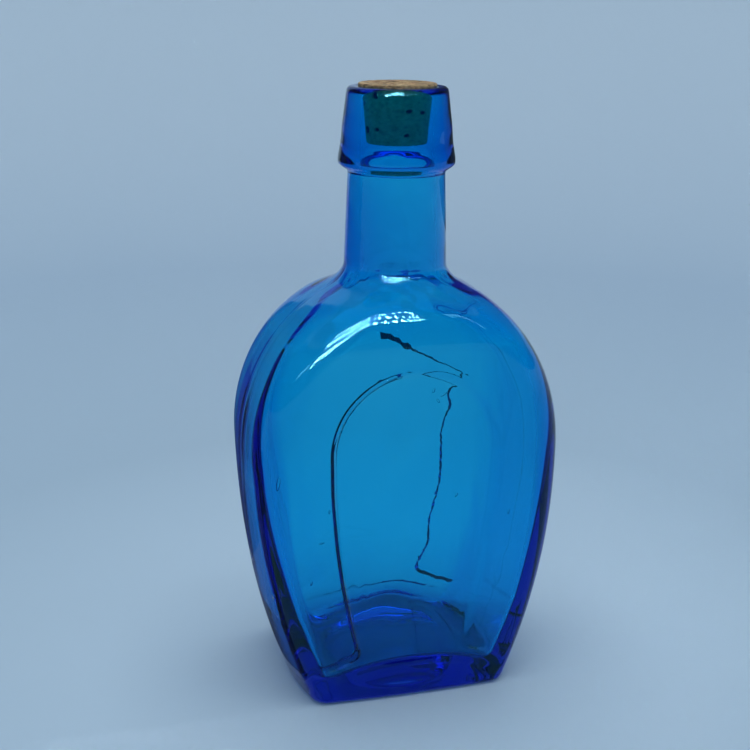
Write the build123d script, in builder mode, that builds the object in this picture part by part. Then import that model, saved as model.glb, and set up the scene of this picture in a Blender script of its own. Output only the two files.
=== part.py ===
from build123d import *
import os

# Corked horseshoe flask: a two-sided glass bottle with a horseshoe raised on each broad face,
# and the tapered cork that closes it. Millimetres, +Z up, origin at the centre of the base,
# front face towards -Y.

# Outline of the body, seen from the front
HEEL_HALF_WIDTH = 37.0        # at the table, in the middle of the depth
WIDEST_HALF_WIDTH = 51.3
WIDEST_HEIGHT = 82.2
FLANK_POWER = 2.2             # how the flank swells from the heel to the widest height
SHOULDER_RISE = 58.3          # widest height to the top of the shoulder's ellipse
BODY_TOP = 136.0              # where the body turns into the neck's flare

# Depth of the body, seen from the side
HALF_DEPTH = 28.4             # at the corners of a section
FACE_CROWN = 0.9              # how far a broad face stands out beyond its corners
SHOULDER_START = 104.0        # height where the broad faces begin to turn in
SHOULDER_FALL = 37.0          # height over which they turn in
SHOULDER_POWER = 3.0

# Plan shape of a section
HEEL_SIDE_CROWN = 5.5         # how far a narrow side stands out beyond its corners, at the heel
SIDE_CROWN_END = 130.0        # height where that crown has faded away
HEEL_CORNER = 5.0
TOP_CORNER = 17.3
CORNER_POWER = 1.7
HEEL_ROUNDING = 1.6

# Glass thickness
WALL = 3.4                    # of the broad faces
SIDE_WALL_SHARE = 1.4         # how much thicker the narrow sides are
INNER_CORNER_SHARE = 0.6      # how much of the thickness the inner corners lose in radius
HEEL_EXTRA_WALL = 1.2         # added near the heel, fading over HEEL_WALL_FADE
HEEL_WALL_FADE = 30.0
SHOULDER_WALL_START = 118.0   # above this the wall thickens towards the neck
SHOULDER_WALL_RATE = 0.13
CAVITY_BOTTOM = 3.5
CAVITY_TOP = 134.5
FLOOR_CROWN_HEIGHT = 10.8     # top of the arched floor
FLOOR_ARCH_RADIUS = 76.0
PUSH_UP_RADIUS = 20.0         # hollow under the base
PUSH_UP_DEPTH = 3.0

# Neck and lip
NECK_ROOT_HEIGHT = 128.0      # where the turned neck starts, inside the body
NECK_ROOT_RADIUS = 17.0
FLARE_RADIUS = 20.0
FLARE_MIDDLE = (17.6, 138.2)  # a point on the flare's curve: radius, height
NECK_BASE_RADIUS = 16.4
NECK_BASE_HEIGHT = 141.5
NECK_TOP_RADIUS = 15.3
LIP_UNDERSIDE = 170.8
LIP_UNDER_EDGE = (17.0, 171.7)
LIP_RADIUS = 18.4
LIP_WIDEST_LOW = 173.0
LIP_WIDEST_HIGH = 174.8
LIP_WAIST = (17.15, 184.8)    # a point on the lip's hollow side
RIM_RADIUS = 15.6
RIM_HEIGHT = 196.4
RIM_ROUNDING = 1.3
BORE_RADIUS = 11.7
BORE_BASE_HEIGHT = 141.0
BORE_ROOT_RADIUS = 14.4       # where the turned bore starts, inside the cavity
BORE_ROOT_HEIGHT = 128.5
BORE_FLARE_RADIUS = 15.4
BORE_FLARE_MIDDLE = (13.0, 137.1)
MOUTH_RADIUS = 11.15          # where the cork seats
SEAT_HEIGHT = 194.5
MOUTH_FLARE_RADIUS = 12.45
MOUTH_CUT_HEIGHT = 197.4      # how far above the rim the bore is cut

# Horseshoe: the raised band is left standing by a sunk panel under its arch and below its feet
ARCH_RADIUS = 26.2
ARCH_CENTRE_HEIGHT = 86.3
PANEL_LEVEL = 28.2            # distance of the sunk panel from the middle plane
LEG_KNEE = (24.6, 57.0)       # inner edge of a leg: half width, height
FOOT_INNER = (17.5, 16.0)
FOOT_HEADING = (-0.2, -1)     # direction of the leg's inner edge where it meets the foot
VERTEX_TOLERANCE = 0.5
FOOT_ROUNDING = 3.5
FOOT_REACH = 34.0             # how far out the foot line runs
HEEL_ARCH_HEIGHT = 13.0       # top of the plain heel band, in the middle
HEEL_ARCH_RADIUS = 76.0
FOOT_GAP = 4.5                # from the heel band up to the feet

# Cork
CORK_BOTTOM = 179.1
CORK_BOTTOM_RADIUS = 9.5
CORK_SEAT_RADIUS = 11.0
CORK_HEAD_HEIGHT = 196.3
CORK_HEAD_RADIUS = 12.2
CORK_TOP = 197.4
CORK_BREAK = 0.5              # broken edges

SECTION_HEIGHTS = (0, 9, 20, 33, 48, 64, 80, 94, 106, 116, 124, 130, 133.5, BODY_TOP)
CAVITY_HEIGHTS = (CAVITY_BOTTOM, 14, 28, 44, 62, 80, 95, 107, 117, 124, 130, CAVITY_TOP)


def half_width(height):
    """Half width of the body in the middle of its depth."""
    if height < WIDEST_HEIGHT:
        swell = WIDEST_HALF_WIDTH - HEEL_HALF_WIDTH
        return WIDEST_HALF_WIDTH - swell * (1 - height / WIDEST_HEIGHT) ** FLANK_POWER
    rise = (height - WIDEST_HEIGHT) / SHOULDER_RISE
    return WIDEST_HALF_WIDTH * (1 - rise**2) ** 0.5


def half_depth(height):
    """Half depth of the body at the corners of its section."""
    turn = max(0.0, (height - SHOULDER_START) / SHOULDER_FALL)
    return HALF_DEPTH * (1 - turn**SHOULDER_POWER) ** (1 / SHOULDER_POWER)


def side_crown(height):
    """How far the narrow sides stand out beyond the section's corners."""
    return max(0.4, HEEL_SIDE_CROWN * (1 - height / SIDE_CROWN_END))


def corner_radius(height):
    """Corner rounding of a section."""
    return HEEL_CORNER + (TOP_CORNER - HEEL_CORNER) * (height / BODY_TOP) ** CORNER_POWER


def wall(height):
    """Glass thickness of the body."""
    heel = HEEL_EXTRA_WALL * max(0.0, 1 - height / HEEL_WALL_FADE)
    shoulder = SHOULDER_WALL_RATE * max(0.0, height - SHOULDER_WALL_START)
    return WALL + heel + shoulder


def body_section(height, inset):
    """Sketch of the body's plan section at a height, drawn in by a thickness."""
    side = half_width(height) - SIDE_WALL_SHARE * inset
    corner_x = side - side_crown(height)
    corner_y = half_depth(height) - inset
    face = corner_y + FACE_CROWN
    with BuildSketch(Plane.XY.offset(height)) as section:
        with BuildLine():
            ThreePointArc((-corner_x, -corner_y), (0, -face), (corner_x, -corner_y))
            ThreePointArc((corner_x, -corner_y), (side, 0), (corner_x, corner_y))
            ThreePointArc((corner_x, corner_y), (0, face), (-corner_x, corner_y))
            ThreePointArc((-corner_x, corner_y), (-side, 0), (-corner_x, -corner_y))
        make_face()
        fillet(section.vertices(), radius=corner_radius(height) - INNER_CORNER_SHARE * inset)
    return section.sketch


def heel_arch(x):
    """Height of the top edge of the plain heel band, x from the middle."""
    return HEEL_ARCH_HEIGHT - x**2 / (2 * HEEL_ARCH_RADIUS)


def panel(plane):
    """Sunk panel of a broad face: the opening of the horseshoe and the strip below its feet."""
    foot_x, foot_z = FOOT_INNER
    end_heel_z = heel_arch(FOOT_REACH)
    end_foot_z = end_heel_z + FOOT_GAP
    with BuildSketch(plane) as sunk:
        with BuildLine():
            arch = CenterArc((0, ARCH_CENTRE_HEIGHT), ARCH_RADIUS, 0, 180)
            leg = Spline(arch @ 0, LEG_KNEE, FOOT_INNER, tangents=((0, -1), FOOT_HEADING))
            Polyline(
                leg @ 1,
                (FOOT_REACH, end_foot_z),
                (FOOT_REACH, end_heel_z),
            )
            ThreePointArc(
                (FOOT_REACH, end_heel_z), (0, HEEL_ARCH_HEIGHT), (-FOOT_REACH, end_heel_z)
            )
            Polyline(
                (-FOOT_REACH, end_heel_z),
                (-FOOT_REACH, end_foot_z),
                (-foot_x, foot_z),
            )
            mirror(leg, about=Plane.YZ)
        make_face()
        inner_feet = [v for v in sunk.vertices() if abs(abs(v.X) - foot_x) < VERTEX_TOLERANCE]
        inner_feet = [v for v in inner_feet if abs(v.Z - foot_z) < VERTEX_TOLERANCE]
        fillet(inner_feet, radius=FOOT_ROUNDING)
    return sunk.sketch


with BuildPart() as bottle:
    # Body, drawn up through its plan sections
    loft([body_section(height, 0) for height in SECTION_HEIGHTS])
    heel_edges = bottle.faces().sort_by(Axis.Z)[0].edges()
    fillet(heel_edges, radius=HEEL_ROUNDING)

    # Neck and lip, turned about the bottle's axis
    with BuildSketch(Plane.XZ):
        with BuildLine():
            Polyline(
                (0, NECK_ROOT_HEIGHT),
                (NECK_ROOT_RADIUS, NECK_ROOT_HEIGHT),
                (FLARE_RADIUS, BODY_TOP),
            )
            flare = ThreePointArc(
                (FLARE_RADIUS, BODY_TOP), FLARE_MIDDLE, (NECK_BASE_RADIUS, NECK_BASE_HEIGHT)
            )
            Polyline(
                flare @ 1,
                (NECK_TOP_RADIUS, LIP_UNDERSIDE),
                LIP_UNDER_EDGE,
                (LIP_RADIUS, LIP_WIDEST_LOW),
                (LIP_RADIUS, LIP_WIDEST_HIGH),
            )
            ThreePointArc((LIP_RADIUS, LIP_WIDEST_HIGH), LIP_WAIST, (RIM_RADIUS, RIM_HEIGHT))
            Polyline(
                (RIM_RADIUS, RIM_HEIGHT),
                (0, RIM_HEIGHT),
                (0, NECK_ROOT_HEIGHT),
            )
        make_face()
    revolve(axis=Axis.Z)
    rim_edge = bottle.edges().filter_by(GeomType.CIRCLE).group_by(Axis.Z)[-1]
    fillet(rim_edge, radius=RIM_ROUNDING)

    # Sunk panel on the front, and the same on the back
    extrude(panel(Plane.XZ.offset(PANEL_LEVEL)), amount=HALF_DEPTH, mode=Mode.SUBTRACT)
    extrude(panel(Plane.XZ.offset(-PANEL_LEVEL)), amount=-HALF_DEPTH, mode=Mode.SUBTRACT)

    # Hollow under the base
    push_up_sphere = (PUSH_UP_RADIUS**2 + PUSH_UP_DEPTH**2) / (2 * PUSH_UP_DEPTH)
    with Locations((0, 0, PUSH_UP_DEPTH - push_up_sphere)):
        Sphere(push_up_sphere, mode=Mode.SUBTRACT)

with BuildPart() as cavity:
    # Inside of the body
    loft([body_section(height, wall(height)) for height in CAVITY_HEIGHTS])
    # Arched floor, level from front to back
    with BuildSketch(Plane.XZ) as floor_arch:
        with Locations((0, FLOOR_CROWN_HEIGHT - FLOOR_ARCH_RADIUS)):
            Circle(FLOOR_ARCH_RADIUS)
    extrude(amount=2 * HALF_DEPTH, both=True, mode=Mode.SUBTRACT)
    # Bore of the neck, up to the flared mouth
    with BuildSketch(Plane.XZ):
        with BuildLine():
            Polyline(
                (0, BORE_ROOT_HEIGHT),
                (BORE_ROOT_RADIUS, BORE_ROOT_HEIGHT),
                (BORE_FLARE_RADIUS, CAVITY_TOP),
            )
            inner_flare = ThreePointArc(
                (BORE_FLARE_RADIUS, CAVITY_TOP),
                BORE_FLARE_MIDDLE,
                (BORE_RADIUS, BORE_BASE_HEIGHT),
            )
            Polyline(
                inner_flare @ 1,
                (MOUTH_RADIUS, SEAT_HEIGHT),
                (MOUTH_FLARE_RADIUS, RIM_HEIGHT),
                (MOUTH_FLARE_RADIUS, MOUTH_CUT_HEIGHT),
                (0, MOUTH_CUT_HEIGHT),
                (0, BORE_ROOT_HEIGHT),
            )
        make_face()
    revolve(axis=Axis.Z)

with bottle:
    add(cavity.part, mode=Mode.SUBTRACT)

with BuildPart() as cork_stopper:
    # Tapered cork, squeezed by the mouth and swelling above it
    with BuildSketch(Plane.XZ):
        with BuildLine():
            Polyline(
                (0, CORK_BOTTOM),
                (CORK_BOTTOM_RADIUS - CORK_BREAK, CORK_BOTTOM),
                (CORK_BOTTOM_RADIUS, CORK_BOTTOM + CORK_BREAK),
                (CORK_SEAT_RADIUS, SEAT_HEIGHT),
                (CORK_HEAD_RADIUS, CORK_HEAD_HEIGHT),
                (CORK_HEAD_RADIUS, CORK_TOP - CORK_BREAK),
                (CORK_HEAD_RADIUS - CORK_BREAK, CORK_TOP),
                (0, CORK_TOP),
                (0, CORK_BOTTOM),
            )
        make_face()
    revolve(axis=Axis.Z)

bottle.part.label = "bottle"
cork_stopper.part.label = "cork_stopper"

os.makedirs("parts", exist_ok=True)
export_step(bottle.part, "parts/bottle.step")
export_step(cork_stopper.part, "parts/cork_stopper.step")
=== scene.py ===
import math

import bmesh
import bpy
import numpy as np
from mathutils import Matrix, Vector


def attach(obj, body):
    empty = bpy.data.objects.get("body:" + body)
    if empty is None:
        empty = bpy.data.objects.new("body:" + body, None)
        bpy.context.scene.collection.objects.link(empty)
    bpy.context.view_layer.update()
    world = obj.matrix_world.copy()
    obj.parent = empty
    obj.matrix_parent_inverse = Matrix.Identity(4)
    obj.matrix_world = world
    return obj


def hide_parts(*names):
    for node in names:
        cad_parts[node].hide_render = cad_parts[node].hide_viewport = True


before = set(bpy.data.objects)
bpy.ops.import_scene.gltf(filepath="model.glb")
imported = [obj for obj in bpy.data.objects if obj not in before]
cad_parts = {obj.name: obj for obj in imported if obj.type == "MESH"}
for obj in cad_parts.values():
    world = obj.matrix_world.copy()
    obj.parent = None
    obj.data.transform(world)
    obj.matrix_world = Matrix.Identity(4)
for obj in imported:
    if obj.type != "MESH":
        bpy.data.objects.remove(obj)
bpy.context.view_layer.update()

# Corked horseshoe flask. Shapes are worked out in millimetres, with the same driving
# dimensions as the CAD part, and scaled to metres when their mesh is made.
MM = 0.001

# ---------------------------------------------------------------- sizes, looks and places
# Body of the bottle
HEEL_HALF_WIDTH = 37.0
WIDEST_HALF_WIDTH = 51.3
WIDEST_HEIGHT = 82.2
FLANK_POWER = 2.2
SHOULDER_RISE = 58.3
BODY_TOP = 136.0
HALF_DEPTH = 28.4
FACE_CROWN = 0.9
SHOULDER_START = 104.0
SHOULDER_FALL = 37.0
SHOULDER_POWER = 3.0
HEEL_SIDE_CROWN = 5.5
SIDE_CROWN_END = 130.0
HEEL_CORNER = 5.0
TOP_CORNER = 17.3
CORNER_POWER = 1.7
CORNER_SHARE = 0.6
SIDE_SHARE = 1.4
HEEL_ROUNDING = 1.6
WALL = 3.4
HEEL_EXTRA_WALL = 1.2
HEEL_WALL_FADE = 30.0
SHOULDER_WALL_START = 118.0
SHOULDER_WALL_RATE = 0.13
FACE_WALL_TOP = 126.0         # where the wall of the body gives way to the shoulder's
FLOOR_CROWN_HEIGHT = 10.8
FLOOR_ARCH_RADIUS = 76.0
FLOOR_FILLET = 4.0
PUSH_UP_RADIUS = 20.0
PUSH_UP_DEPTH = 3.0

# Neck and lip
FLARE_RADIUS = 20.0
FLARE_POWER = 1.8
FLARE_BLEND = (131, 138)      # heights between which body turns to neck
NECK_BASE_RADIUS = 16.4
NECK_BASE_HEIGHT = 141.5
NECK_TOP_RADIUS = 15.3
LIP_UNDERSIDE = 170.8
LIP_RADIUS = 18.4
LIP_WIDEST_LOW = 173.0
LIP_WIDEST_HIGH = 174.8
LIP_WAIST_RADIUS = 17.1
LIP_WAIST_HEIGHT = 184.8
LIP_SIDE_SWELL = 0.45         # of the lip's side beyond its waist
LIP_SIDE_RISE = 4.6           # from the lip's widest place up to there
RIM_RADIUS = 15.6
RIM_HEIGHT = 196.4
BORE_RADIUS = 11.7
BORE_BASE_HEIGHT = 141.0
BORE_FLARE_RADIUS = 15.4
BORE_FLARE_HEIGHT = 134.5
BORE_FLARE_POWER = 1.5
BORE_BLEND = (137, 126)       # heights between which bore turns to body
MOUTH_RADIUS = 11.15
SEAT_HEIGHT = 194.5
MOUTH_FLARE_RADIUS = 12.45
MOUTH_DEPTH = 18.0            # of the taper that the cork sits in
# of the corners from the top of the neck over the lip and the rim into the mouth
NECK_ROUNDINGS = (0.8, 1.0, 1.0, 4.0, 8.0, 1.3, 0.7, 1.5)

# Horseshoe, left standing around a sunk panel on each broad face
ARCH_RADIUS = 26.2
ARCH_CENTRE_HEIGHT = 86.3
LEG_DRAW_IN = 8.9             # how much nearer the middle the legs are at the feet
PANEL_LEVEL = 28.2
FOOT_INNER_X = 17.5
FOOT_INNER_HEIGHT = 16.0
FOOT_SLOPE = 0.37
FOOT_ROUNDING = 3.5
HEEL_ARCH_HEIGHT = 13.0
HEEL_ARCH_RADIUS = 76.0
STEP_WIDTH = 1.0              # of the sloping step from the horseshoe down to the panel
SOFT_STEP_WIDTH = 3.2         # where the mould left it rounded
FOLD_DEPTH = 0.68             # of the fold that the step makes inside, at the left front leg
FOLD_WIDTH = 0.75
FOLD_SHIFT = -0.6             # of the fold from the step, towards the side

# Flaws of the glass
WAVE_DEPTH = 0.10
STREAK_DEPTH = 0.08
UNEVEN_WALL = 0.45            # thicker than the part's wall below the middle, thinner above it
BORE_WAVES = 0.16
SHOULDER_FOLDS = 0.45
SEAM_STEP = 0.12              # of the mould seam up each narrow side
BORE_LEAN = 0.8               # how far the blown bore strays sideways below the stopper
# place in the glass, half length, half width and lean in degrees of each bubble
BUBBLES = (
    (-43.1, -25.0, 79.3, 2.4, 0.55, 8), (-45.4, -24.6, 40.0, 0.9, 0.35, 0),
    (-33.6, -27.0, 44.8, 0.8, 0.4, 20), (26.4, 27.0, 86.5, 1.5, 0.5, 60),
    (24.0, 27.0, 84.0, 1.1, 0.5, -40), (22.6, 27.0, 88.2, 0.9, 0.4, 15),
    (-30.2, -27.0, 58.5, 0.9, 0.35, 75), (-27.8, -27.0, 69.0, 0.7, 0.3, 10),
    (14.0, -27.0, 70.5, 0.8, 0.35, 30), (32.0, -27.0, 63.0, 1.0, 0.35, 5),
)
# How far the edge of the back panel strays outwards on the right, by height
BACK_FLAW = (
    (0.0, 0.0), (17.6, 0.0), (22.0, 1.4), (27.3, 2.6), (35.0, 1.2), (51.4, 1.6),
    (60.0, 0.8), (69.2, 0.6), (76.0, 2.0), (81.0, 3.6), (86.0, 2.2), (88.5, 3.0),
    (90.7, 7.2), (93.5, 3.4), (96.3, -0.4), (102.2, -0.6), (108.0, 0.0), (140.0, 0.0),
)

# Bottle mesh
COLUMNS = 248
BODY_ROWS = 150
INSIDE_ROWS = 99
BUBBLE_COLUMNS, BUBBLE_ROWS = 16, 11
BUBBLE_FLATNESS = 0.6
PANEL_MARGIN = 1.2            # how far below the panel's level its face is still a broad face

# Cork
CORK_BOTTOM = 179.1
CORK_BOTTOM_RADIUS = 9.5
CORK_SEAT_RADIUS = 11.0
CORK_HEAD_HEIGHT = 196.3
CORK_HEAD_RADIUS = 12.2
CORK_TOP = 197.4
CORK_CENTRE_RADIUS = 0.4      # of the smallest ring of its mesh at each end
CORK_COLUMNS = 240
CORK_ROW_PITCH = 0.27
CORK_ROUNDINGS = (0.6, 1.0, 1.0, 0.5)
CORK_END = 0.6                # how far from an end the pits go straight into it
CORK_GRAIN = 0.05
SIDE_PITS, TOP_PITS, CHIPS = 38, 46, 9

# Looks: colours are linear, and heights in metres
GLASS_TINT = (0.0, 0.865, 0.977, 1)
GLASS_DENSITY = 740
GLASS_BUMP = 0.015
BARK_TONES = [
    (0.30, (0.06, 0.030, 0.012)), (0.43, (0.17, 0.095, 0.040)),
    (0.56, (0.36, 0.22, 0.10)), (0.72, (0.58, 0.41, 0.22)),
]
AGED_TONES = [(0.35, (0.11, 0.065, 0.03)), (0.7, (0.48, 0.34, 0.19))]
AGED_SHARE = [(0.45, (0, 0, 0)), (0.68, (1, 1, 1))]
FRESH_TONES = [
    (0.30, (0.46, 0.35, 0.12)), (0.45, (0.68, 0.53, 0.18)), (0.65, (0.82, 0.67, 0.25)),
]
PIT_SHARE = [(0.0, (0, 0, 0)), (0.45, (1, 1, 1))]
PIT_TONES = [(0.3, (0.012, 0.007, 0.004)), (0.8, (0.06, 0.03, 0.014))]
FRESH_BELOW, WORN_ABOVE = 0.1945, 0.1965
# distance from the bottle in metres, and colour of the stage there. The colours are painted light:
# lightest round the bottle in place of its shadow, painted shade a little further out behind it,
# and lighter up the wall
STAGE_PAINTED_LIGHT = [
    (0.10, (0.57, 0.67, 0.755)), (0.22, (0.465, 0.56, 0.645)),
    (0.60, (0.475, 0.565, 0.66)), (0.95, (0.68, 0.745, 0.80)),
]

# Stage, in metres
FLOOR_RADIUS = 0.55
SWEEP_RADIUS = 0.35
STAGE_HEIGHT = 1.1
STAGE_COLUMNS = 96
FLOOR_LEVEL = -0.0004         # just under the base, so that light gets in between

# Dark surround with grey flags, which only reflections see: painted shade in the glass's
# reflections, dark blue, standing in for the unlit room
DARK_ROOM_RADIUS = 0.85
DARK_ROOM_SPAN = (-110, 110)  # degrees either side of the front
DARK_ROOM_HEIGHTS = (0.03, 0.9)
REFLECTED_SHADE_COLOUR = (0.03, 0.10, 0.40)
FLAG_SHADE_COLOUR = (0.13, 0.15, 0.17)
FLAG_REACH = 0.45             # of each flag, sideways from the bottle
GREY_FLAGS = (
    ((-0.046, 0.07, 0), (-0.046, 0.07, 0.30), (-FLAG_REACH, 0.07, 0.30), (-FLAG_REACH, 0.07, 0)),
    ((-0.040, -0.03, 0.004), (-0.040, 0.07, 0.004), (-FLAG_REACH, 0.07, 0.004),
     (-FLAG_REACH, -0.03, 0.004)),
    ((0.024, 0.05, 0.14), (0.024, 0.05, 0.34), (FLAG_REACH, 0.05, 0.34), (FLAG_REACH, 0.05, 0.14)),
)

# Rows of small lamps in front of the bottle and above the camera, between two soft strips: glowing
# quads that give no diffuse light and only reflections see, as painted highlights on the glass
STRIP_DEPTH = -0.36
LED_ROWS, LED_COUNT = 3, 25
LED_RIGHT = 0.125
LED_HEIGHT = 0.34
LED_PITCH = 0.0015
LED_SPREAD = 0.00140          # how much each lamp is further from the next one
LED_ROW_PITCH = 0.026
LED_FAN = 6.0                 # how much the rows spread out towards the left
LED_SHARE = 0.45              # of its pitch that a lamp fills
LED_HIGHLIGHT_COLOUR = (0.9, 1, 1)
LED_HIGHLIGHT_STRENGTH = 110
SOFT_STRIPS = (-0.52, 0.26)
SOFT_HEIGHT = LED_HEIGHT + 0.04
SOFT_HALF_SIZE = (0.1, 0.02)
SOFT_HIGHLIGHT_COLOUR = (0.7, 0.95, 1)
SOFT_HIGHLIGHT_STRENGTH = 6

# Light
ROOM_COLOUR = (0.55, 0.7, 0.85, 1)
ROOM_STRENGTH = 0.28
OVERHEAD_PLACE = (0, 0.05, 1.25)
OVERHEAD_SIZE = 1.2
OVERHEAD_POWER = 8.4
OVERHEAD_COLOUR = (0.82, 0.93, 1)

# Camera
CAMERA_PLACE = (-0.1037, -0.3659, 0.2266)
CAMERA_YAW = 14.93            # degrees from +Y towards +X
CAMERA_TILT = 17.99           # degrees below level
CAMERA_ROLL = 0.65
CAMERA_LENS = 58.1
SENSOR_WIDTH = 36


def smoothstep(low, high, value):
    """0 below low, 1 above high, and a smooth ramp between them."""
    t = np.clip((value - low) / (high - low), 0, 1)
    return t * t * (3 - 2 * t)


def mix(a, b, share):
    """a at share 0, b at share 1."""
    return a * (1 - share) + b * share


# ---------------------------------------------------------------- body of the bottle
def half_width(height):
    """Half width of the body in the middle of its depth."""
    low = np.clip(1 - height / WIDEST_HEIGHT, 0, None)
    rise = np.clip((height - WIDEST_HEIGHT) / SHOULDER_RISE, 0, 0.999)
    swell = WIDEST_HALF_WIDTH - (WIDEST_HALF_WIDTH - HEEL_HALF_WIDTH) * low**FLANK_POWER
    return np.where(height < WIDEST_HEIGHT, swell, WIDEST_HALF_WIDTH * np.sqrt(1 - rise**2))


def half_depth(height):
    """Half depth of the body at the corners of its section."""
    turn = np.clip((height - SHOULDER_START) / SHOULDER_FALL, 0, 0.999)
    return HALF_DEPTH * (1 - turn**SHOULDER_POWER) ** (1 / SHOULDER_POWER)


def side_crown(height):
    """How far the narrow sides stand out beyond the section's corners."""
    return np.maximum(0.4, HEEL_SIDE_CROWN * (1 - height / SIDE_CROWN_END))


def corner_radius(height):
    """Corner rounding of a section."""
    return HEEL_CORNER + (TOP_CORNER - HEEL_CORNER) * (height / BODY_TOP) ** CORNER_POWER


def wall(height):
    """Glass thickness of the body."""
    heel = HEEL_EXTRA_WALL * np.clip(1 - height / HEEL_WALL_FADE, 0, None)
    shoulder = SHOULDER_WALL_RATE * np.clip(height - SHOULDER_WALL_START, 0, None)
    thick = smoothstep(75, 35, height)
    thin = smoothstep(75, 105, height) * smoothstep(FACE_WALL_TOP, 116, height)
    return WALL + heel + shoulder + UNEVEN_WALL * (thick - thin)


def quarter_section(height, share, inset):
    """Quarter of a plan section: share runs from 0 at the face's middle to 1 at the side's."""
    side = half_width(height) - SIDE_SHARE * inset
    bulge = side_crown(height)
    corner_x = side - bulge
    corner_y = half_depth(height) - inset
    rounding = np.maximum(corner_radius(height) - CORNER_SHARE * inset, 1.0)
    face_radius = (corner_x**2 + FACE_CROWN**2) / (2 * FACE_CROWN)
    face_centre = corner_y + FACE_CROWN - face_radius
    side_radius = (corner_y**2 + bulge**2) / (2 * bulge)
    side_centre = side - side_radius
    # centre of the corner rounding, where both arcs drawn in by its radius cross
    from_face = face_radius - rounding
    from_side = side_radius - rounding
    apart = np.hypot(side_centre, face_centre)
    along_x, along_y = side_centre / apart, -face_centre / apart
    along = (from_face**2 - from_side**2 + apart**2) / (2 * apart)
    across = np.sqrt(np.clip(from_face**2 - along**2, 0, None))
    round_x = along_x * along + along_y * across
    round_y = face_centre + along_y * along - along_x * across
    face_angle = np.arctan2(round_x, round_y - face_centre)
    side_angle = np.arctan2(round_y, round_x - side_centre)
    face_length = face_radius * face_angle
    corner_length = rounding * (math.pi / 2 - face_angle - side_angle)
    side_length = side_radius * side_angle
    s = share * (face_length + corner_length + side_length)
    on_face = s / face_radius
    on_corner = face_angle + (s - face_length) / rounding
    on_side = math.pi / 2 - side_angle + (s - face_length - corner_length) / side_radius
    x = np.where(
        s < face_length,
        face_radius * np.sin(on_face),
        np.where(
            s < face_length + corner_length,
            round_x + rounding * np.sin(on_corner),
            side_centre + side_radius * np.sin(on_side),
        ),
    )
    y = np.where(
        s < face_length,
        face_centre + face_radius * np.cos(on_face),
        np.where(
            s < face_length + corner_length,
            round_y + rounding * np.cos(on_corner),
            side_radius * np.cos(on_side),
        ),
    )
    return x, y


# ---------------------------------------------------------------- columns of the mesh
def column_shares():
    """Share and angle of each column, closer together at the legs' edges and the seams."""
    fine = np.linspace(0, 1, 2001)
    density = 1 + 0.9 * np.exp(-(((fine - 0.30) / 0.10) ** 2)) + np.exp(-(((fine - 1) / 0.02) ** 2))
    reach = np.concatenate([[0], np.cumsum((density[1:] + density[:-1]) / 2)])
    quarter = np.interp(np.linspace(0, reach[-1], COLUMNS // 4 + 1), reach, fine)
    up, down = quarter[:-1], quarter[:0:-1]
    share = np.concatenate([up, down, up, down])
    angle = np.concatenate([up, 2 - down, 2 + up, 4 - down]) * math.pi / 2
    return share, angle


SHARE, ANGLE = column_shares()
SIGN_X = np.where(np.sin(ANGLE) >= 0, 1.0, -1.0)
SIGN_Y = np.where(np.cos(ANGLE) >= 0, -1.0, 1.0)


def body_ring(height, inset):
    """Points of the body's section at each column; height may differ from column to column."""
    height = np.broadcast_to(height, (COLUMNS,)).astype(float)
    x, y = quarter_section(height, SHARE, inset)
    return np.stack([x * SIGN_X, y * SIGN_Y, height], 1)


def round_ring(radius, height):
    """Points of a circle about the bottle's axis."""
    z = np.broadcast_to(height, (COLUMNS,))
    return np.stack([radius * np.sin(ANGLE), -radius * np.cos(ANGLE), z], 1)


def rounded_path(points, radii, spacing):
    """Polyline of (radius, height) points with its corners rounded and evenly divided."""
    points = [np.array(p, float) for p in points]
    path = [points[0]]
    for before, corner, after, radius in zip(points, points[1:], points[2:], radii):
        back = (before - corner) / np.linalg.norm(before - corner)
        on = (after - corner) / np.linalg.norm(after - corner)
        half = math.acos(np.clip(back @ on, -1, 1)) / 2
        reach = radius / math.tan(half)
        start, end = corner + back * reach, corner + on * reach
        centre = corner + (back + on) / np.linalg.norm(back + on) * radius / math.sin(half)
        for t in np.linspace(0, 1, 7):
            ray = mix(start - centre, end - centre, t)
            path.append(centre + ray / np.linalg.norm(ray) * radius)
    path.append(points[-1])
    path = np.array(path)
    steps = np.concatenate([[0], np.cumsum(np.linalg.norm(np.diff(path, axis=0), axis=1))])
    count = max(2, int(round(steps[-1] / spacing)))
    at = np.linspace(0, steps[-1], count + 1)
    return np.stack([np.interp(at, steps, path[:, 0]), np.interp(at, steps, path[:, 1])], 1)


# ---------------------------------------------------------------- flaws of the glass
def ripples(u, v, seed, count, u_wave, v_wave):
    """Sum of random sine waves over (u, v), between about -1 and 1, the same on each run."""
    random = np.random.RandomState(seed)
    total = np.zeros(np.broadcast(u, v).shape)
    for _ in range(count):
        u_rate = 2 * math.pi / random.uniform(*u_wave)
        v_rate = 2 * math.pi / random.uniform(*v_wave) * random.choice([-1, 1])
        total = total + np.sin(u * u_rate + v * v_rate + random.uniform(0, 2 * math.pi))
    return total / math.sqrt(count) / 1.5


def wavy_shoulder(ring, height):
    """A ring of the inside between body and bore, with the folds left by the blowing."""
    strength = smoothstep(124, 131, height) * smoothstep(141, 135, height)
    around = np.arctan2(ring[:, 0], -ring[:, 1]) * 22
    folds = ripples(around, height, 24, 7, (7.0, 24.0), (5.0, 14.0))
    shrink = 1 - strength * SHOULDER_FOLDS / 20 * folds
    return ring * np.stack([shrink, shrink, np.ones(COLUMNS)], 1)


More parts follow.
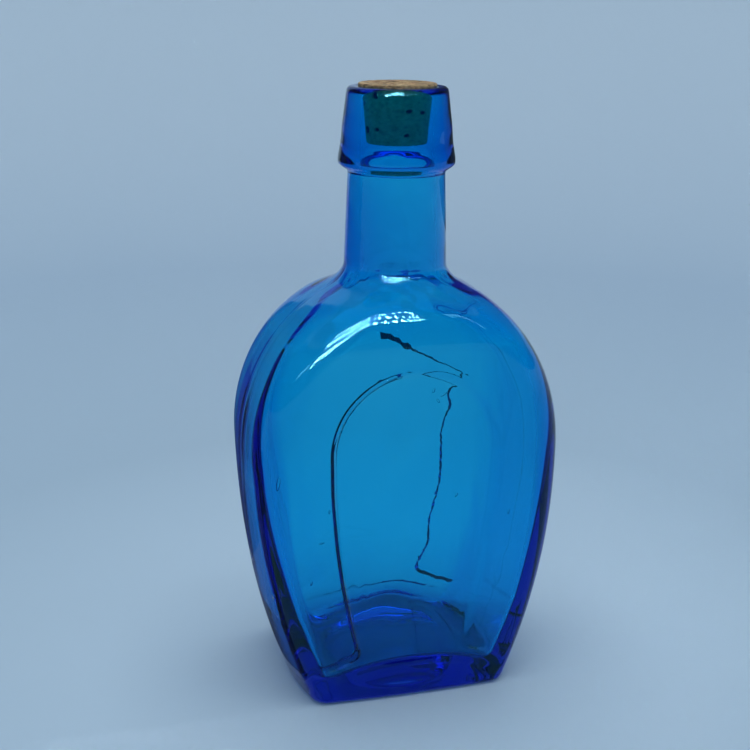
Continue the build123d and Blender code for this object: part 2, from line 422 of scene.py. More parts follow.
def wavy_inside(rows):
    """Long waves and fine upright streaks of the blown inner surface, faded at its ends."""
    x, y, z = rows[..., 0].copy(), rows[..., 1].copy(), rows[..., 2].copy()
    around = x + 70 * (y > 0) * np.sign(y)
    waves = WAVE_DEPTH * ripples(around, z, 21, 8, (14.0, 50.0), (18.0, 70.0))
    streaks = STREAK_DEPTH * ripples(around, z, 22, 14, (2.6, 6.0), (25.0, 120.0))
    patches = smoothstep(0.0, 0.6, ripples(around, z, 23, 6, (12.0, 30.0), (20.0, 50.0)))
    fade = smoothstep(15, 22, z) * smoothstep(FACE_WALL_TOP, 116, z)
    depth = fade * (waves + streaks * patches)
    rows[..., 1] = y + np.sign(y) * depth * smoothstep(0, 12, np.abs(y))


def smooth_min(a, b, rounding):
    """Lesser of a and b, with the corner between them rounded."""
    blend = np.clip(rounding - np.abs(a - b), 0, None) / rounding
    return np.minimum(a, b) - blend * blend * rounding / 4


def leg_edge(height):
    """Distance of a leg's inner edge from the middle of the face."""
    down = ARCH_CENTRE_HEIGHT - np.minimum(height, ARCH_CENTRE_HEIGHT)
    draw = down / (ARCH_CENTRE_HEIGHT - FOOT_INNER_HEIGHT)
    return ARCH_RADIUS - LEG_DRAW_IN * draw**2


def panel_distance(x, z, back):
    """Distance outside the sunk panel of a broad face, negative inside it."""
    over_arch = np.hypot(x, np.clip(z - ARCH_CENTRE_HEIGHT, 0, None)) - leg_edge(z)
    flaw_heights, flaw_shifts = np.array(BACK_FLAW).T
    flaw = np.interp(z, flaw_heights, flaw_shifts) * smoothstep(5, 12, x)
    jagged = 0.28 * ripples(x, z, 11, 9, (2.0, 9.0), (1.6, 6.0))
    even = 0.06 * ripples(x, z, 12, 6, (9.0, 30.0), (9.0, 30.0))
    over_arch = over_arch - np.where(back, flaw + jagged, even)
    over_foot = z - FOOT_INNER_HEIGHT + FOOT_SLOPE * (np.abs(x) - FOOT_INNER_X)
    over_heel = HEEL_ARCH_HEIGHT - x**2 / (2 * HEEL_ARCH_RADIUS) - z
    opening = smooth_min(over_arch, over_foot, FOOT_ROUNDING)
    return np.maximum(opening, over_heel + 0.1 * ripples(x, z, 13, 5, (8.0, 30.0), (20.0, 60.0)))


def draw_to_step(rows, chosen, width, shift=0.0):
    """Draws the chosen points near the panel's outline onto both edges of the step there."""
    x, z = rows[..., 0].copy(), rows[..., 2].copy()
    back = rows[..., 1] > 0
    apart = 0.05
    d = panel_distance(x, z, back) + shift
    right, left = (panel_distance(x + step, z, back) for step in (apart, -apart))
    above, below = (panel_distance(x, z + step, back) for step in (apart, -apart))
    slope_x, slope_z = (right - left) / (2 * apart), (above - below) / (2 * apart)
    steep = np.maximum(slope_x**2 + slope_z**2, 0.25)
    edge, near = width / 2, 0.9
    size = np.abs(d)
    beside = np.where(size < 2 * near, mix(edge + 0.35, size, 0.35), size)
    drawn = np.where(size < near, edge, beside)
    move = np.where(chosen, np.sign(d) * drawn - d, 0) / steep
    rows[..., 0] = x + move * slope_x
    rows[..., 2] = z + move * slope_z
    d = np.where(chosen, np.sign(d) * drawn, d)
    return smoothstep(edge * 1.01, -edge * 1.01, d)


def follow_leg(rows, shift):
    """Slides points sideways, so that no column crosses the edge of the left front leg."""
    x, z = rows[..., 0].copy(), rows[..., 2]
    line = shift - leg_edge(z)
    legs = (z > 20) & (z < ARCH_CENTRE_HEIGHT)
    front_left = np.arange(COLUMNS) > COLUMNS * 3 / 4 + 2
    astray = np.where(front_left, np.where(legs, np.abs(x - line), 0).sum(0), np.inf)
    lane = int(astray.argmin())
    gap = (line[:, lane] - (x[:, lane] + x[:, lane - 1]) / 2)[:, None]
    weight = smoothstep(17, 1, np.abs(np.arange(COLUMNS) - lane + 0.5))
    strength = smoothstep(17, 24, z) * smoothstep(98, ARCH_CENTRE_HEIGHT, z)
    rows[..., 0] = x + gap * weight * strength


def sink_panels(rows):
    """Cuts the sunk panel into both broad faces of a grid of outside rows, and marks its
    crisp steps: 1 in the panel, 0 outside it."""
    follow_leg(rows, 0.0)
    x, y, z = rows[..., 0].copy(), rows[..., 1].copy(), rows[..., 2].copy()
    on_face = np.abs(y) > PANEL_LEVEL - PANEL_MARGIN
    crisp = on_face & np.where(y > 0, (x > 2.5) & (z > 10), (x < -4) & (z > 14))
    soft = smoothstep(SOFT_STEP_WIDTH / 2, -SOFT_STEP_WIDTH / 2, panel_distance(x, z, y > 0))
    inside = np.where(crisp, draw_to_step(rows, crisp, STEP_WIDTH), soft)
    sunk = np.minimum(np.abs(y), PANEL_LEVEL)
    rows[..., 1] = np.sign(y) * np.where(on_face, mix(np.abs(y), sunk, inside), np.abs(y))
    return np.where(crisp, inside, np.nan)


def fold_inside(rows):
    """Lifts a grid of inside rows behind both panels, and marks the sharp fold as above."""
    follow_leg(rows, FOLD_SHIFT)
    x, y, z = rows[..., 0].copy(), rows[..., 1].copy(), rows[..., 2].copy()
    strength = np.where(y < 0, smoothstep(-2, -10, x) * smoothstep(117, 106, z), 0)
    behind = smoothstep(0.80, 0.92, np.abs(y) / HALF_DEPTH)
    soft = smoothstep(4, -3, panel_distance(x, z, False)) * behind
    chosen = (y < 4 - PANEL_LEVEL + WALL) & (x < -1) & (z < 120)
    inside = draw_to_step(rows, chosen, FOLD_WIDTH * np.maximum(strength, 0.1), FOLD_SHIFT)
    rows[..., 1] = y - np.sign(y) * mix(soft, np.where(chosen, inside, 0), strength) * FOLD_DEPTH
    return np.where(chosen & (strength > 0.08), inside, np.nan)


def cut_seams(rows):
    """Leaves a fine ridge standing where the halves of the mould met, up each narrow side."""
    across = np.abs(rows[..., 1])
    beside = smoothstep(0.15, 0.45, across) * smoothstep(1.6, 0.7, across)
    rows[..., 0] -= np.sign(rows[..., 0]) * SEAM_STEP * beside


# ---------------------------------------------------------------- bottle
def no_steps(count):
    """Marks of a number of rows that have no step."""
    return np.full((count, COLUMNS), np.nan)


def base_rows():
    """Rows from the middle of the push-up out to the heel's rounding."""
    rows = []
    sphere = (PUSH_UP_RADIUS**2 + PUSH_UP_DEPTH**2) / (2 * PUSH_UP_DEPTH)
    for radius in np.linspace(0.8, PUSH_UP_RADIUS, 10):
        level = PUSH_UP_DEPTH - sphere + math.sqrt(sphere**2 - radius**2)
        rows.append(round_ring(radius, level))
    ring, heel = rows[-1], body_ring(0.0, HEEL_ROUNDING)
    for t in (0.08, 0.3, 0.6, 1.0):
        rows.append(mix(ring, heel, t) * (1, 1, 0))
    for angle in np.radians((22, 45, 68)):
        height = HEEL_ROUNDING * (1 - math.cos(angle))
        rows.append(body_ring(height, HEEL_ROUNDING * (1 - math.sin(angle))))
    return rows


def body_rows():
    """Rows of the body's outside, from the heel up to the base of the neck."""
    rows = []
    flare_turn = (FLARE_RADIUS - NECK_BASE_RADIUS) / (NECK_BASE_HEIGHT - BODY_TOP) ** FLARE_POWER
    for height in np.linspace(HEEL_ROUNDING, NECK_BASE_HEIGHT, BODY_ROWS):
        ring = body_ring(min(height, BODY_TOP + 3), 0.0)
        ring[:, 2] = height
        flare = NECK_BASE_RADIUS + flare_turn * (NECK_BASE_HEIGHT - height) ** FLARE_POWER
        rows.append(mix(ring, round_ring(flare, height), smoothstep(*FLARE_BLEND, height)))
    return np.array(rows)


def neck_rows():
    """Rows of the neck, the lip and the rim, and of the mouth down to the cork's lower end."""
    neck = rounded_path(
        [
            (NECK_BASE_RADIUS, NECK_BASE_HEIGHT + 1),
            (NECK_TOP_RADIUS, LIP_UNDERSIDE),
            (LIP_RADIUS, LIP_WIDEST_LOW),
            (LIP_RADIUS, LIP_WIDEST_HIGH),
            (LIP_WAIST_RADIUS + LIP_SIDE_SWELL, LIP_WIDEST_HIGH + LIP_SIDE_RISE),
            (LIP_WAIST_RADIUS, LIP_WAIST_HEIGHT),
            (RIM_RADIUS, RIM_HEIGHT),
            (MOUTH_FLARE_RADIUS, RIM_HEIGHT),
            (MOUTH_RADIUS, SEAT_HEIGHT),
            (BORE_RADIUS - 0.4, SEAT_HEIGHT - MOUTH_DEPTH),
        ],
        NECK_ROUNDINGS,
        0.95,
    )
    return [round_ring(radius, height) for radius, height in neck]


def outside_rows():
    """Rows of the outside, from the middle of the base up to the rim, then the mouth."""
    base, body, neck = base_rows(), body_rows(), neck_rows()
    cut_seams(body)
    marks = [no_steps(len(base)), sink_panels(body), no_steps(len(neck))]
    return [*base, *body, *neck], np.concatenate(marks)


def bore_rows():
    """Rows of the bore and its flare, from below the mouth down to the body's inside."""
    rows = []
    for height in np.linspace(SEAT_HEIGHT - 20, BORE_BASE_HEIGHT, 14):
        fall = (SEAT_HEIGHT - height) / (SEAT_HEIGHT - BORE_BASE_HEIGHT)
        ring = round_ring(mix(MOUTH_RADIUS + 0.2, BORE_RADIUS, min(1, fall * 2)), height)
        waves = ripples(ANGLE * BORE_RADIUS, height, 25, 9, (7.0, 25.0), (7.0, 30.0))
        swell = BORE_WAVES * waves / BORE_RADIUS
        ring *= np.stack([1 + swell * smoothstep(0.0, 0.1, fall)] * 2 + [np.ones(COLUMNS)], 1)
        ring[:, 0] += BORE_LEAN * smoothstep(0.3, 0.8, fall)
        rows.append(ring)
    flare_height = BORE_BASE_HEIGHT - BORE_FLARE_HEIGHT
    flare_turn = (BORE_FLARE_RADIUS - BORE_RADIUS) / flare_height**BORE_FLARE_POWER
    for height in np.linspace(BORE_BASE_HEIGHT - 1, FACE_WALL_TOP, 12):
        turn = flare_turn * (BORE_BASE_HEIGHT - height) ** BORE_FLARE_POWER
        flare = round_ring(BORE_RADIUS + turn, height)
        ring = body_ring(min(height, BODY_TOP), wall(height))
        ring[:, 2] = height
        flare[:, 0] += BORE_LEAN
        rows.append(wavy_shoulder(mix(flare, ring, smoothstep(*BORE_BLEND, height)), height))
    return rows


def fillet_heights():
    """Height at each column where the wall's inside turns into the floor."""
    floor_edge = body_ring(10.0, wall(10.0) + FLOOR_FILLET / 2)
    floor_at_wall = FLOOR_CROWN_HEIGHT - floor_edge[:, 0] ** 2 / (2 * FLOOR_ARCH_RADIUS)
    return floor_at_wall + FLOOR_FILLET


def cavity_rows(fillet_top):
    """Rows of the body's inside, down to the floor's fillet."""
    rows = []
    for t in np.linspace(0, 1, INSIDE_ROWS + 1)[1:]:
        height = mix(FACE_WALL_TOP, fillet_top, t)
        rows.append(wavy_shoulder(body_ring(height, wall(height)), height))
    rows = np.array(rows)
    wavy_inside(rows)
    return rows


def floor_rows(fillet_top):
    """Rows of the floor's fillet, and of the arched floor in to its middle."""
    rows = []
    for angle in np.radians((18, 36, 54, 72, 90)):
        height = fillet_top - FLOOR_FILLET * math.sin(angle)
        inset = wall(fillet_top) + FLOOR_FILLET * (1 - math.cos(angle))
        rows.append(body_ring(height, inset))
    edge = rows[-1]
    for t in np.linspace(0, 0.97, 14)[1:]:
        ring = edge * (1 - t, 1 - t, 0)
        level = FLOOR_CROWN_HEIGHT - ring[:, 0] ** 2 / (2 * FLOOR_ARCH_RADIUS)
        ring[:, 2] = mix(edge[:, 2], level, smoothstep(0, 0.3, t))
        rows.append(ring)
    return rows


def inside_rows():
    """Rows of the inside, from below the mouth down to the middle of the floor."""
    fillet_top = fillet_heights()
    bore, cavity, floor = bore_rows(), cavity_rows(fillet_top), floor_rows(fillet_top)
    marks = [no_steps(len(bore)), fold_inside(cavity), no_steps(len(floor))]
    return [*bore, *cavity, *floor], np.concatenate(marks)


def split_steps(quads, marks):
    """Splits quads across a step, cutting off the corner that is alone on its side of it."""
    level = marks.ravel()[quads]
    crossing = np.ptp(level, axis=1) > 0.5
    high = level > (level.max(1) + level.min(1))[:, None] / 2
    count = np.where(crossing, high.sum(1), 0)
    alone = np.where(count == 1, high.argmax(1), (~high).argmax(1))
    cut = (count == 1) | (count == 3)
    corner = (alone[:, None] + np.arange(4)) % 4
    turned = np.take_along_axis(quads, corner, 1)[cut]
    tips, rests = turned[:, (0, 1, 3)], turned[:, (1, 2, 3)]
    steps = np.concatenate([crossing[~cut], np.ones(len(tips), bool), np.zeros(len(rests), bool)])
    return quads[~cut], np.concatenate([tips, rests]), steps


def grid_faces(ring_count, columns):
    """Quads between rings, and the triangles that close both ends to their pole points."""
    column = np.arange(columns)
    after = (column + 1) % columns
    first = np.arange(ring_count - 1)[:, None] * columns
    quads = np.stack(
        [first + column, first + after, first + columns + after, first + columns + column], -1
    ).reshape(-1, 4)
    low, high = ring_count * columns, ring_count * columns + 1
    top = (ring_count - 1) * columns
    triangles = np.concatenate([
        np.stack([np.full(columns, low), after, column], 1),
        np.stack([top + column, top + after, np.full(columns, high)], 1),
    ])
    return quads, triangles


def grid_mesh(name, rows, low_pole, high_pole, marks=None):
    """Closed mesh through rings of equal length, with a pole point at each end.

    Faces whose points differ in their marks are steps, and are left flat. A point that
    is not a number in marks is beside no step."""
    rows = np.asarray(rows, float)
    points = np.concatenate([rows.reshape(-1, 3), [low_pole, high_pole]]) * MM
    quads, triangles = grid_faces(*rows.shape[:2])
    steps = np.zeros(len(quads), bool)
    if marks is not None:
        quads, cut, steps = split_steps(quads, marks)
        triangles = np.concatenate([cut, triangles])
    mesh = bpy.data.meshes.new(name)
    mesh.vertices.add(len(points))
    mesh.vertices.foreach_set("co", points.astype(np.float32).ravel())
    loops = np.concatenate([quads.ravel(), triangles.ravel()])
    sizes = np.concatenate([np.full(len(quads), 4), np.full(len(triangles), 3)])
    mesh.loops.add(len(loops))
    mesh.loops.foreach_set("vertex_index", loops.astype(np.int32))
    mesh.polygons.add(len(sizes))
    starts = np.concatenate([[0], np.cumsum(sizes)[:-1]])
    mesh.polygons.foreach_set("loop_start", starts.astype(np.int32))
    mesh.update(calc_edges=True)
    smooth = np.ones(len(sizes), bool)
    smooth[:len(steps)] = ~steps
    mesh.polygons.foreach_set("use_smooth", smooth)
    mesh.validate()
    return mesh


def new_piece(name, mesh):
    """Object of a mesh, put into the scene."""
    piece = bpy.data.objects.new(name, mesh)
    bpy.context.scene.collection.objects.link(piece)
    return piece


def bubble_mesh(x, y, z, half_length, half_width, lean):
    """Closed ball of the bubble's shape. Its rings run downwards, which turns it inside
    out, so it is a hollow in the glass."""
    turn = np.linspace(0, 2 * math.pi, BUBBLE_COLUMNS, endpoint=False)
    rise = np.radians(np.linspace(90, -90, BUBBLE_ROWS + 2))[:, None]
    out = np.cos(rise)
    ball = np.stack(np.broadcast_arrays(out * np.sin(turn), -out * np.cos(turn), np.sin(rise)), -1)
    upright = ball * (half_width, half_width * BUBBLE_FLATNESS, half_length)
    turned = np.array(Matrix.Rotation(math.radians(lean), 3, "Y"))
    rows = upright @ turned.T + (x, y, z)
    return grid_mesh("bubble", rows[1:-1], rows[0, 0], rows[-1, 0])


def make_bottle():
    """The bottle as one closed mesh, outside and inside, with its bubbles."""
    outside, outside_marks = outside_rows()
    inside, inside_marks = inside_rows()
    rows = np.array(outside + inside)
    marks = np.concatenate([outside_marks, inside_marks])
    low_pole, high_pole = (0, 0, PUSH_UP_DEPTH), (0, 0, FLOOR_CROWN_HEIGHT)
    mesh = grid_mesh("bottle_glass", rows, low_pole, high_pole, marks)
    shapes = bmesh.new()
    for bubble in BUBBLES:
        ball = bubble_mesh(*bubble)
        shapes.from_mesh(ball)
        bpy.data.meshes.remove(ball)
    shapes.from_mesh(mesh)
    shapes.to_mesh(mesh)
    shapes.free()
    return new_piece("bottle_glass", mesh)


# ---------------------------------------------------------------- cork
def around_axis(radius, angle, height):
    """Point at a distance from the bottle's axis, at an angle from the front."""
    return np.array([radius * math.sin(angle), -radius * math.cos(angle), height])


def cork_pits(random):
    """Place, long direction, half length, half width and depth of each pit in the cork."""
    pits = []
    for _ in range(SIDE_PITS):
        angle = random.uniform(0, 2 * math.pi)
        height = random.uniform(CORK_BOTTOM + 1, CORK_TOP - 1)
        radius = mix(CORK_BOTTOM_RADIUS, CORK_SEAT_RADIUS, (height - CORK_BOTTOM) / 15.5)
        along = np.array([math.cos(angle), math.sin(angle), random.uniform(-0.3, 0.3)])
        place = around_axis(radius, angle, height)
        size = random.uniform(0.5, 1.0) ** 2
        pits.append((place, along, 1.7 * size + 0.2, 0.9 * size + 0.2, 1.1 * size + 0.2))
    for _ in range(TOP_PITS):
        angle = random.uniform(0, 2 * math.pi)
        radius = CORK_HEAD_RADIUS * math.sqrt(random.uniform(0, 1))
        place = around_axis(radius, angle, CORK_TOP)
        size = random.uniform(0.3, 1.0) ** 2
        along = np.array([1.0, random.uniform(-0.25, 0.25), 0])
        pits.append((place, along, 1.9 * size + 0.25, 0.5 * size + 0.15, 0.7 * size + 0.1))
    for _ in range(CHIPS):
        angle = random.uniform(0, 2 * math.pi)
        place = around_axis(CORK_HEAD_RADIUS, angle, CORK_TOP)
        along = np.array([math.cos(angle), math.sin(angle), 0])
        size = random.uniform(0.5, 1.0)
        pits.append((place, along, 1.8 * size, 0.8 * size, 0.5 * size))
    return pits


def cork_rows():
    """Rows of the smooth cork, from the middle of its lower end to the middle of its top."""
    turn = np.linspace(0, 2 * math.pi, CORK_COLUMNS, endpoint=False)
    path = rounded_path(
        [
            (CORK_CENTRE_RADIUS, CORK_BOTTOM),
            (CORK_BOTTOM_RADIUS, CORK_BOTTOM),
            (CORK_SEAT_RADIUS, SEAT_HEIGHT),
            (CORK_HEAD_RADIUS, CORK_HEAD_HEIGHT),
            (CORK_HEAD_RADIUS, CORK_TOP),
            (CORK_CENTRE_RADIUS, CORK_TOP),
        ],
        CORK_ROUNDINGS,
        CORK_ROW_PITCH,
    )
    rows = []
    for radius, height in path:
        z = np.full(CORK_COLUMNS, height)
        rows.append(np.stack([radius * np.sin(turn), -radius * np.cos(turn), z], 1))
    return np.array(rows)


def pit_depths(rows):
    """Depth of the deepest pit at each point of the cork."""
    depth = np.zeros(rows.shape[:2])
    for place, along, half_length, half_width, deep in cork_pits(np.random.RandomState(31)):
        away = rows - place
        on = away @ (along / np.linalg.norm(along))
        off = np.clip((away**2).sum(-1) - on**2, 0, None)
        near = np.clip(1 - (on / half_length) ** 2 - off / half_width**2, 0, None)
        depth = np.maximum(depth, deep * np.sqrt(near))
    return depth


def into_cork(rows):
    """Direction into the cork at each of its points: level on the side, steep at the ends."""
    inward = rows * (-1.3, -1.3, 0)
    z = rows[..., 2]
    from_low_end = np.where(z < CORK_BOTTOM + CORK_END, 20, 0)
    inward[..., 2] = np.where(z > CORK_TOP - CORK_END, -20, from_low_end)
    return inward / np.linalg.norm(inward, axis=-1, keepdims=True)


def make_cork():
    """The cork, with its pits, chips and grain, and the depth of the pits in an attribute."""
    rows = cork_rows()
    depth = pit_depths(rows)
    turned = np.arctan2(rows[..., 0], -rows[..., 1])
    waves = ripples(turned * 11, rows[..., 2], 32, 16, (1.2, 4.0), (0.8, 3.0))
    grain = CORK_GRAIN * (1 + waves)
    rows = rows + into_cork(rows) * (depth + np.clip(grain, 0, None))[..., None]
    mesh = grid_mesh("cork", rows, (0, 0, CORK_BOTTOM + 0.1), (0, 0, CORK_TOP - 0.1))
    pit = mesh.attributes.new("pit", "FLOAT", "POINT")
    pit.data.foreach_set("value", np.concatenate([depth.ravel(), [0, 0]]).astype(np.float32))
    return new_piece("cork", mesh)


# ---------------------------------------------------------------- materials
def new_material(name):
    """New material, with its nodes, links and main shader."""
    material = bpy.data.materials.new(name)
    material.use_nodes = True
    nodes, links = material.node_tree.nodes, material.node_tree.links
    return material, nodes, links, nodes["Principled BSDF"]


def add_node(nodes, kind, **values):
    """New shader node with the given input values."""
    node = nodes.new(kind)
    for name, value in values.items():
        node.inputs[name.replace("_", " ")].default_value = value
    return node


def object_noise(nodes, links, stretch, scale, detail):
    """Noise over the piece in metres, stretched differently along each axis."""
    place = nodes.new("ShaderNodeTexCoord")
    mapping = add_node(nodes, "ShaderNodeMapping", Scale=stretch)
    noise = add_node(nodes, "ShaderNodeTexNoise", Scale=scale, Detail=detail)
    links.new(place.outputs["Object"], mapping.inputs["Vector"])
    links.new(mapping.outputs["Vector"], noise.inputs["Vector"])
    return noise.outputs["Fac"]


def glass_material():
    """Clear shader with a faint hammered surface, tinted blue by its depth."""
    material, nodes, links, shader = new_material("blue_glass")
    shader.inputs["Base Color"].default_value = (1, 1, 1, 1)
    shader.inputs["Roughness"].default_value = 0.0
    shader.inputs["IOR"].default_value = 1.51
    shader.inputs["Transmission Weight"].default_value = 1.0
    shader.inputs["Specular Tint"].default_value = (0.25, 0.8, 1.0, 1)
    bump = add_node(nodes, "ShaderNodeBump", Strength=GLASS_BUMP, Distance=0.0003)
    links.new(object_noise(nodes, links, (1, 1, 0.25), 240, 2), bump.inputs["Height"])
    links.new(bump.outputs["Normal"], shader.inputs["Normal"])
    tint = nodes.new("ShaderNodeVolumeAbsorption")
    tint.inputs["Color"].default_value = GLASS_TINT
    tint.inputs["Density"].default_value = GLASS_DENSITY
    links.new(tint.outputs["Volume"], nodes["Material Output"].inputs["Volume"])
    return material


def colour_ramp(nodes, links, value, stops):
    """Colour that follows a value through stops of (position, colour)."""
    ramp = nodes.new("ShaderNodeValToRGB")
    while len(ramp.color_ramp.elements) < len(stops):
        ramp.color_ramp.elements.new(0.5)
    for element, (position, colour) in zip(ramp.color_ramp.elements, stops):
        element.position = position
        element.color = (*colour, 1)
    links.new(value, ramp.inputs["Fac"])
    return ramp.outputs["Color"]


def mix_colour(nodes, links, share, first, second):
    """First colour at share 0, second at share 1."""
    blend = nodes.new("ShaderNodeMix")
    blend.data_type = "RGBA"
    links.new(share, blend.inputs["Factor"])
    links.new(first, blend.inputs["A"])
    links.new(second, blend.inputs["B"])
    return blend.outputs["Result"]


def cork_colour(nodes, links, grain):
    """Worn bark on the top, fresh cork below it in the mouth, and dark pits."""
    patches = object_noise(nodes, links, (1, 1, 1), 260, 3)
    bark = colour_ramp(nodes, links, grain, BARK_TONES)
    aged = colour_ramp(nodes, links, grain, AGED_TONES)
    share = colour_ramp(nodes, links, patches, AGED_SHARE)
    worn = mix_colour(nodes, links, share, bark, aged)
    fresh = colour_ramp(nodes, links, grain, FRESH_TONES)
    place = nodes.new("ShaderNodeTexCoord")
    parts = nodes.new("ShaderNodeSeparateXYZ")
    links.new(place.outputs["Object"], parts.inputs["Vector"])
    height = nodes.new("ShaderNodeMapRange")
    height.inputs["From Min"].default_value = FRESH_BELOW
    height.inputs["From Max"].default_value = WORN_ABOVE
    links.new(parts.outputs["Z"], height.inputs["Value"])
    base = mix_colour(nodes, links, height.outputs["Result"], fresh, worn)
    pit = nodes.new("ShaderNodeAttribute")
    pit.attribute_name = "pit"
    deep = colour_ramp(nodes, links, pit.outputs["Fac"], PIT_SHARE)
    dark = colour_ramp(nodes, links, grain, PIT_TONES)
    return mix_colour(nodes, links, deep, base, dark)


def cork_material():
    """Rough bark that follows its grain in colour, roughness and bump."""
    material, nodes, links, shader = new_material("cork_bark")
    grain = object_noise(nodes, links, (0.6, 1, 1), 900, 6)
    links.new(cork_colour(nodes, links, grain), shader.inputs["Base Color"])
    rough = nodes.new("ShaderNodeMapRange")
    rough.inputs["To Min"].default_value = 0.75
    rough.inputs["To Max"].default_value = 0.95
    links.new(grain, rough.inputs["Value"])
    links.new(rough.outputs["Result"], shader.inputs["Roughness"])
    bump = add_node(nodes, "ShaderNodeBump", Strength=0.6, Distance=0.0004)
    links.new(grain, bump.inputs["Height"])
    links.new(bump.outputs["Normal"], shader.inputs["Normal"])
    return material


def stage_material():
    """Pale blue-grey, with painted light: lightest round the bottle, where its shadow falls, and up
    the wall, with painted shade between.
    """
    material, nodes, links, shader = new_material("stage_painted_light")
    place = nodes.new("ShaderNodeTexCoord")
    away = nodes.new("ShaderNodeVectorMath")
    away.operation = "LENGTH"
    links.new(place.outputs["Object"], away.inputs[0])
    # painted light and shade on the stage, by distance from the bottle
    painted_light_tone = colour_ramp(nodes, links, away.outputs["Value"], STAGE_PAINTED_LIGHT)
    links.new(painted_light_tone, shader.inputs["Base Color"])
    shader.inputs["Roughness"].default_value = 0.9
    return material


def unseen_through_glass(name, colour, glow=0.0):
    """Dull or glowing material that only reflections see: rays out of glass pass through it. The
    dull ones are painted shade and the glowing ones painted highlights in the glass's reflections.
    """
    material, nodes, links, shader = new_material(name)
    shader.inputs["Base Color"].default_value = (0, 0, 0, 1) if glow else (*colour, 1)
    shader.inputs["Emission Color"].default_value = (*colour, 1)
    shader.inputs["Emission Strength"].default_value = glow
    shader.inputs["Roughness"].default_value = 1.0
    ray = nodes.new("ShaderNodeLightPath")
    clear = nodes.new("ShaderNodeBsdfTransparent")
    either = nodes.new("ShaderNodeMixShader")
    links.new(ray.outputs["Is Transmission Ray"], either.inputs["Fac"])
    links.new(shader.outputs["BSDF"], either.inputs[1])
    links.new(clear.outputs["BSDF"], either.inputs[2])
    links.new(either.outputs["Shader"], nodes["Material Output"].inputs["Surface"])
    material.cycles.emission_sampling = "NONE"
    return material


# ---------------------------------------------------------------- stage, light, camera
def make_stage(material):
    """Round pale floor that sweeps up into a wall all round."""
    profile = [(0.02, 0.0), (0.2, 0.0), (0.4, 0.0)]
    for angle in np.radians(np.linspace(0, 90, 13)):
        out, up = math.sin(angle), 1 - math.cos(angle)
        profile.append((FLOOR_RADIUS + SWEEP_RADIUS * out, SWEEP_RADIUS * up))
    profile.append((FLOOR_RADIUS + SWEEP_RADIUS, STAGE_HEIGHT))
    turn = np.linspace(0, 2 * math.pi, STAGE_COLUMNS, endpoint=False)
    points, faces = [(0.0, 0.0, 0.0)], []
    for radius, height in profile:
        points.extend((radius * math.cos(a), radius * math.sin(a), height) for a in turn)
    for c in range(STAGE_COLUMNS):
        d = (c + 1) % STAGE_COLUMNS
        faces.append((0, 1 + c, 1 + d))
        for r in range(len(profile) - 1):
            low, high = 1 + r * STAGE_COLUMNS, 1 + (r + 1) * STAGE_COLUMNS
            faces.append((low + c, high + c, high + d, low + d))
    mesh = bpy.data.meshes.new("stage")
    mesh.from_pydata(points, [], faces)
    mesh.polygons.foreach_set("use_smooth", np.ones(len(faces), bool))
    mesh.materials.append(material)
    stage = bpy.data.objects.new("stage", mesh)
    stage.location.z = FLOOR_LEVEL
    bpy.context.scene.collection.objects.link(stage)


def reflected_only(name, points, faces, materials, others):
    """Stage object that the camera and diffuse light don't see. Its last faces, as many as
    others says, take the second material."""
    mesh = bpy.data.meshes.new(name)
    mesh.from_pydata(points, [], faces)
    for material in materials:
        mesh.materials.append(material)
    for face in mesh.polygons[-others:]:
        face.material_index = 1
    holder = bpy.data.objects.new(name, mesh)
    holder.visible_camera = False
    holder.visible_diffuse = False
    holder.visible_shadow = False
    bpy.context.scene.collection.objects.link(holder)
    return holder


def make_dark_room():
    """Dark surround and grey flags, as the unlit room around a light table: sheets of painted shade
    that only the glass's reflections show.
    """
    points, faces = [], []
    turns = np.radians(np.linspace(*DARK_ROOM_SPAN, 33))
    for turn in turns:
        points.extend(around_axis(DARK_ROOM_RADIUS, turn, z) for z in DARK_ROOM_HEIGHTS)
    for step in range(len(turns) - 1):
        low = 2 * step
        faces.append((low, low + 1, low + 3, low + 2))
    for flag in GREY_FLAGS:
        faces.append(tuple(range(len(points), len(points) + 4)))
        points.extend(flag)
    materials = [
        unseen_through_glass("dark_room", REFLECTED_SHADE_COLOUR),
        unseen_through_glass("grey_flag_shade", FLAG_SHADE_COLOUR),
    ]
    room = reflected_only("dark_room", points, faces, materials, len(GREY_FLAGS))
    room.visible_transmission = False


def upright_quad(points, faces, x, z, half_width, half_height):
    """Adds a quad that faces the bottle from the front."""
    for across, up in ((-1, -1), (1, -1), (1, 1), (-1, 1)):
        points.append((x + across * half_width, STRIP_DEPTH, z + up * half_height))
    faces.append(tuple(range(len(points) - 4, len(points))))


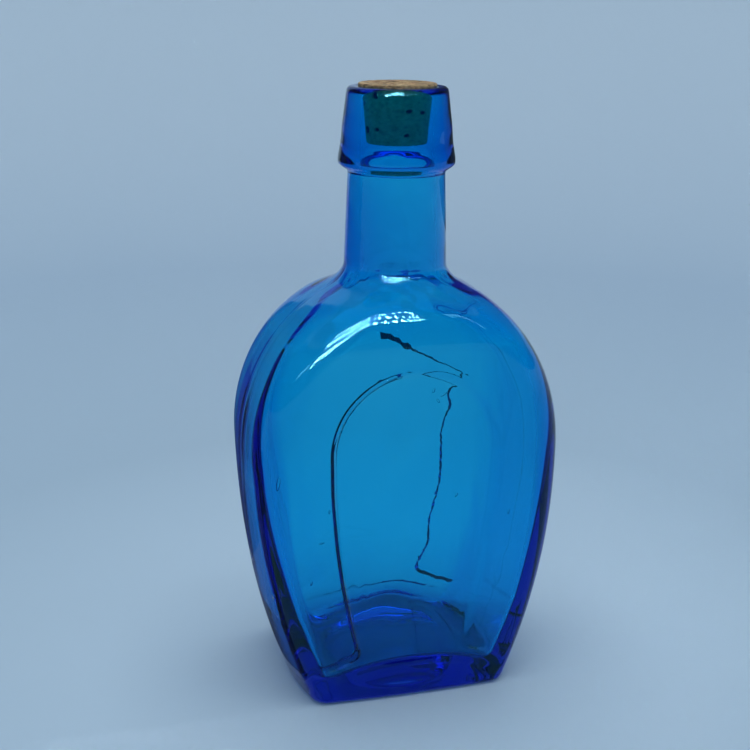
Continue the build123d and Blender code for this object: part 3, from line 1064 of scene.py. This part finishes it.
def make_strips():
    """Rows of small lamps between two soft strips, which only reflections see: glowing quads that
    give no diffuse light, as painted highlights on the glass.
    """
    points, faces = [], []
    for row in range(LED_ROWS):
        for step in range(LED_COUNT):
            pitch = LED_PITCH + LED_SPREAD * step
            row_pitch = LED_ROW_PITCH * (1 + LED_FAN * step / LED_COUNT)
            x = LED_RIGHT - (LED_PITCH + LED_SPREAD * step / 2) * step
            z = LED_HEIGHT + row * row_pitch
            upright_quad(points, faces, x, z, LED_SHARE * pitch / 2, LED_SHARE * row_pitch / 2)
    for x in SOFT_STRIPS:
        upright_quad(points, faces, x, SOFT_HEIGHT, *SOFT_HALF_SIZE)
    materials = [
        unseen_through_glass("led_painted_highlight", LED_HIGHLIGHT_COLOUR, LED_HIGHLIGHT_STRENGTH),
        unseen_through_glass("soft_painted_highlight", SOFT_HIGHLIGHT_COLOUR, SOFT_HIGHLIGHT_STRENGTH),
    ]
    reflected_only("painted_highlight_strips", points, faces, materials, len(SOFT_STRIPS))


def make_lights():
    """Dim even light from all round, and a broad lamp overhead that aims at the base."""
    scene = bpy.context.scene
    scene.world = bpy.data.worlds.new("dim_room")
    scene.world.use_nodes = True
    surround = scene.world.node_tree.nodes["Background"]
    surround.inputs["Color"].default_value = ROOM_COLOUR
    surround.inputs["Strength"].default_value = ROOM_STRENGTH
    lamp = bpy.data.lights.new("overhead", "AREA")
    lamp.shape = "RECTANGLE"
    lamp.size = lamp.size_y = OVERHEAD_SIZE
    lamp.energy = OVERHEAD_POWER
    lamp.color = OVERHEAD_COLOUR
    overhead = bpy.data.objects.new("overhead", lamp)
    overhead.location = OVERHEAD_PLACE
    aim = -Vector(OVERHEAD_PLACE)
    overhead.rotation_euler = aim.to_track_quat("-Z", "Y").to_euler()
    overhead.visible_glossy = False
    bpy.context.scene.collection.objects.link(overhead)


def make_camera():
    """The photo's camera: in front of the bottle, to its left and above it."""
    camera = bpy.data.cameras.new("camera")
    camera.sensor_width = SENSOR_WIDTH
    camera.lens = CAMERA_LENS
    holder = bpy.data.objects.new("camera", camera)
    turn = Matrix.Rotation(math.radians(-CAMERA_YAW), 4, "Z")
    tilt = Matrix.Rotation(math.radians(90 - CAMERA_TILT), 4, "X")
    roll = Matrix.Rotation(math.radians(CAMERA_ROLL), 4, "Z")
    holder.matrix_world = Matrix.Translation(CAMERA_PLACE) @ turn @ tilt @ roll
    bpy.context.scene.collection.objects.link(holder)
    bpy.context.scene.camera = holder


# ---------------------------------------------------------------- scene
bottle = make_bottle()
bottle.data.materials.append(glass_material())
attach(bottle, "bottle")
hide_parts("bottle")

cork = make_cork()
cork.data.materials.append(cork_material())
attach(cork, "stopper")
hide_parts("cork_stopper")

make_stage(stage_material())
make_dark_room()
make_strips()
make_lights()
make_camera()

scene = bpy.context.scene
scene.view_settings.view_transform = "Standard"
scene.cycles.max_bounces = 24
scene.cycles.transmission_bounces = 24
scene.cycles.glossy_bounces = 12
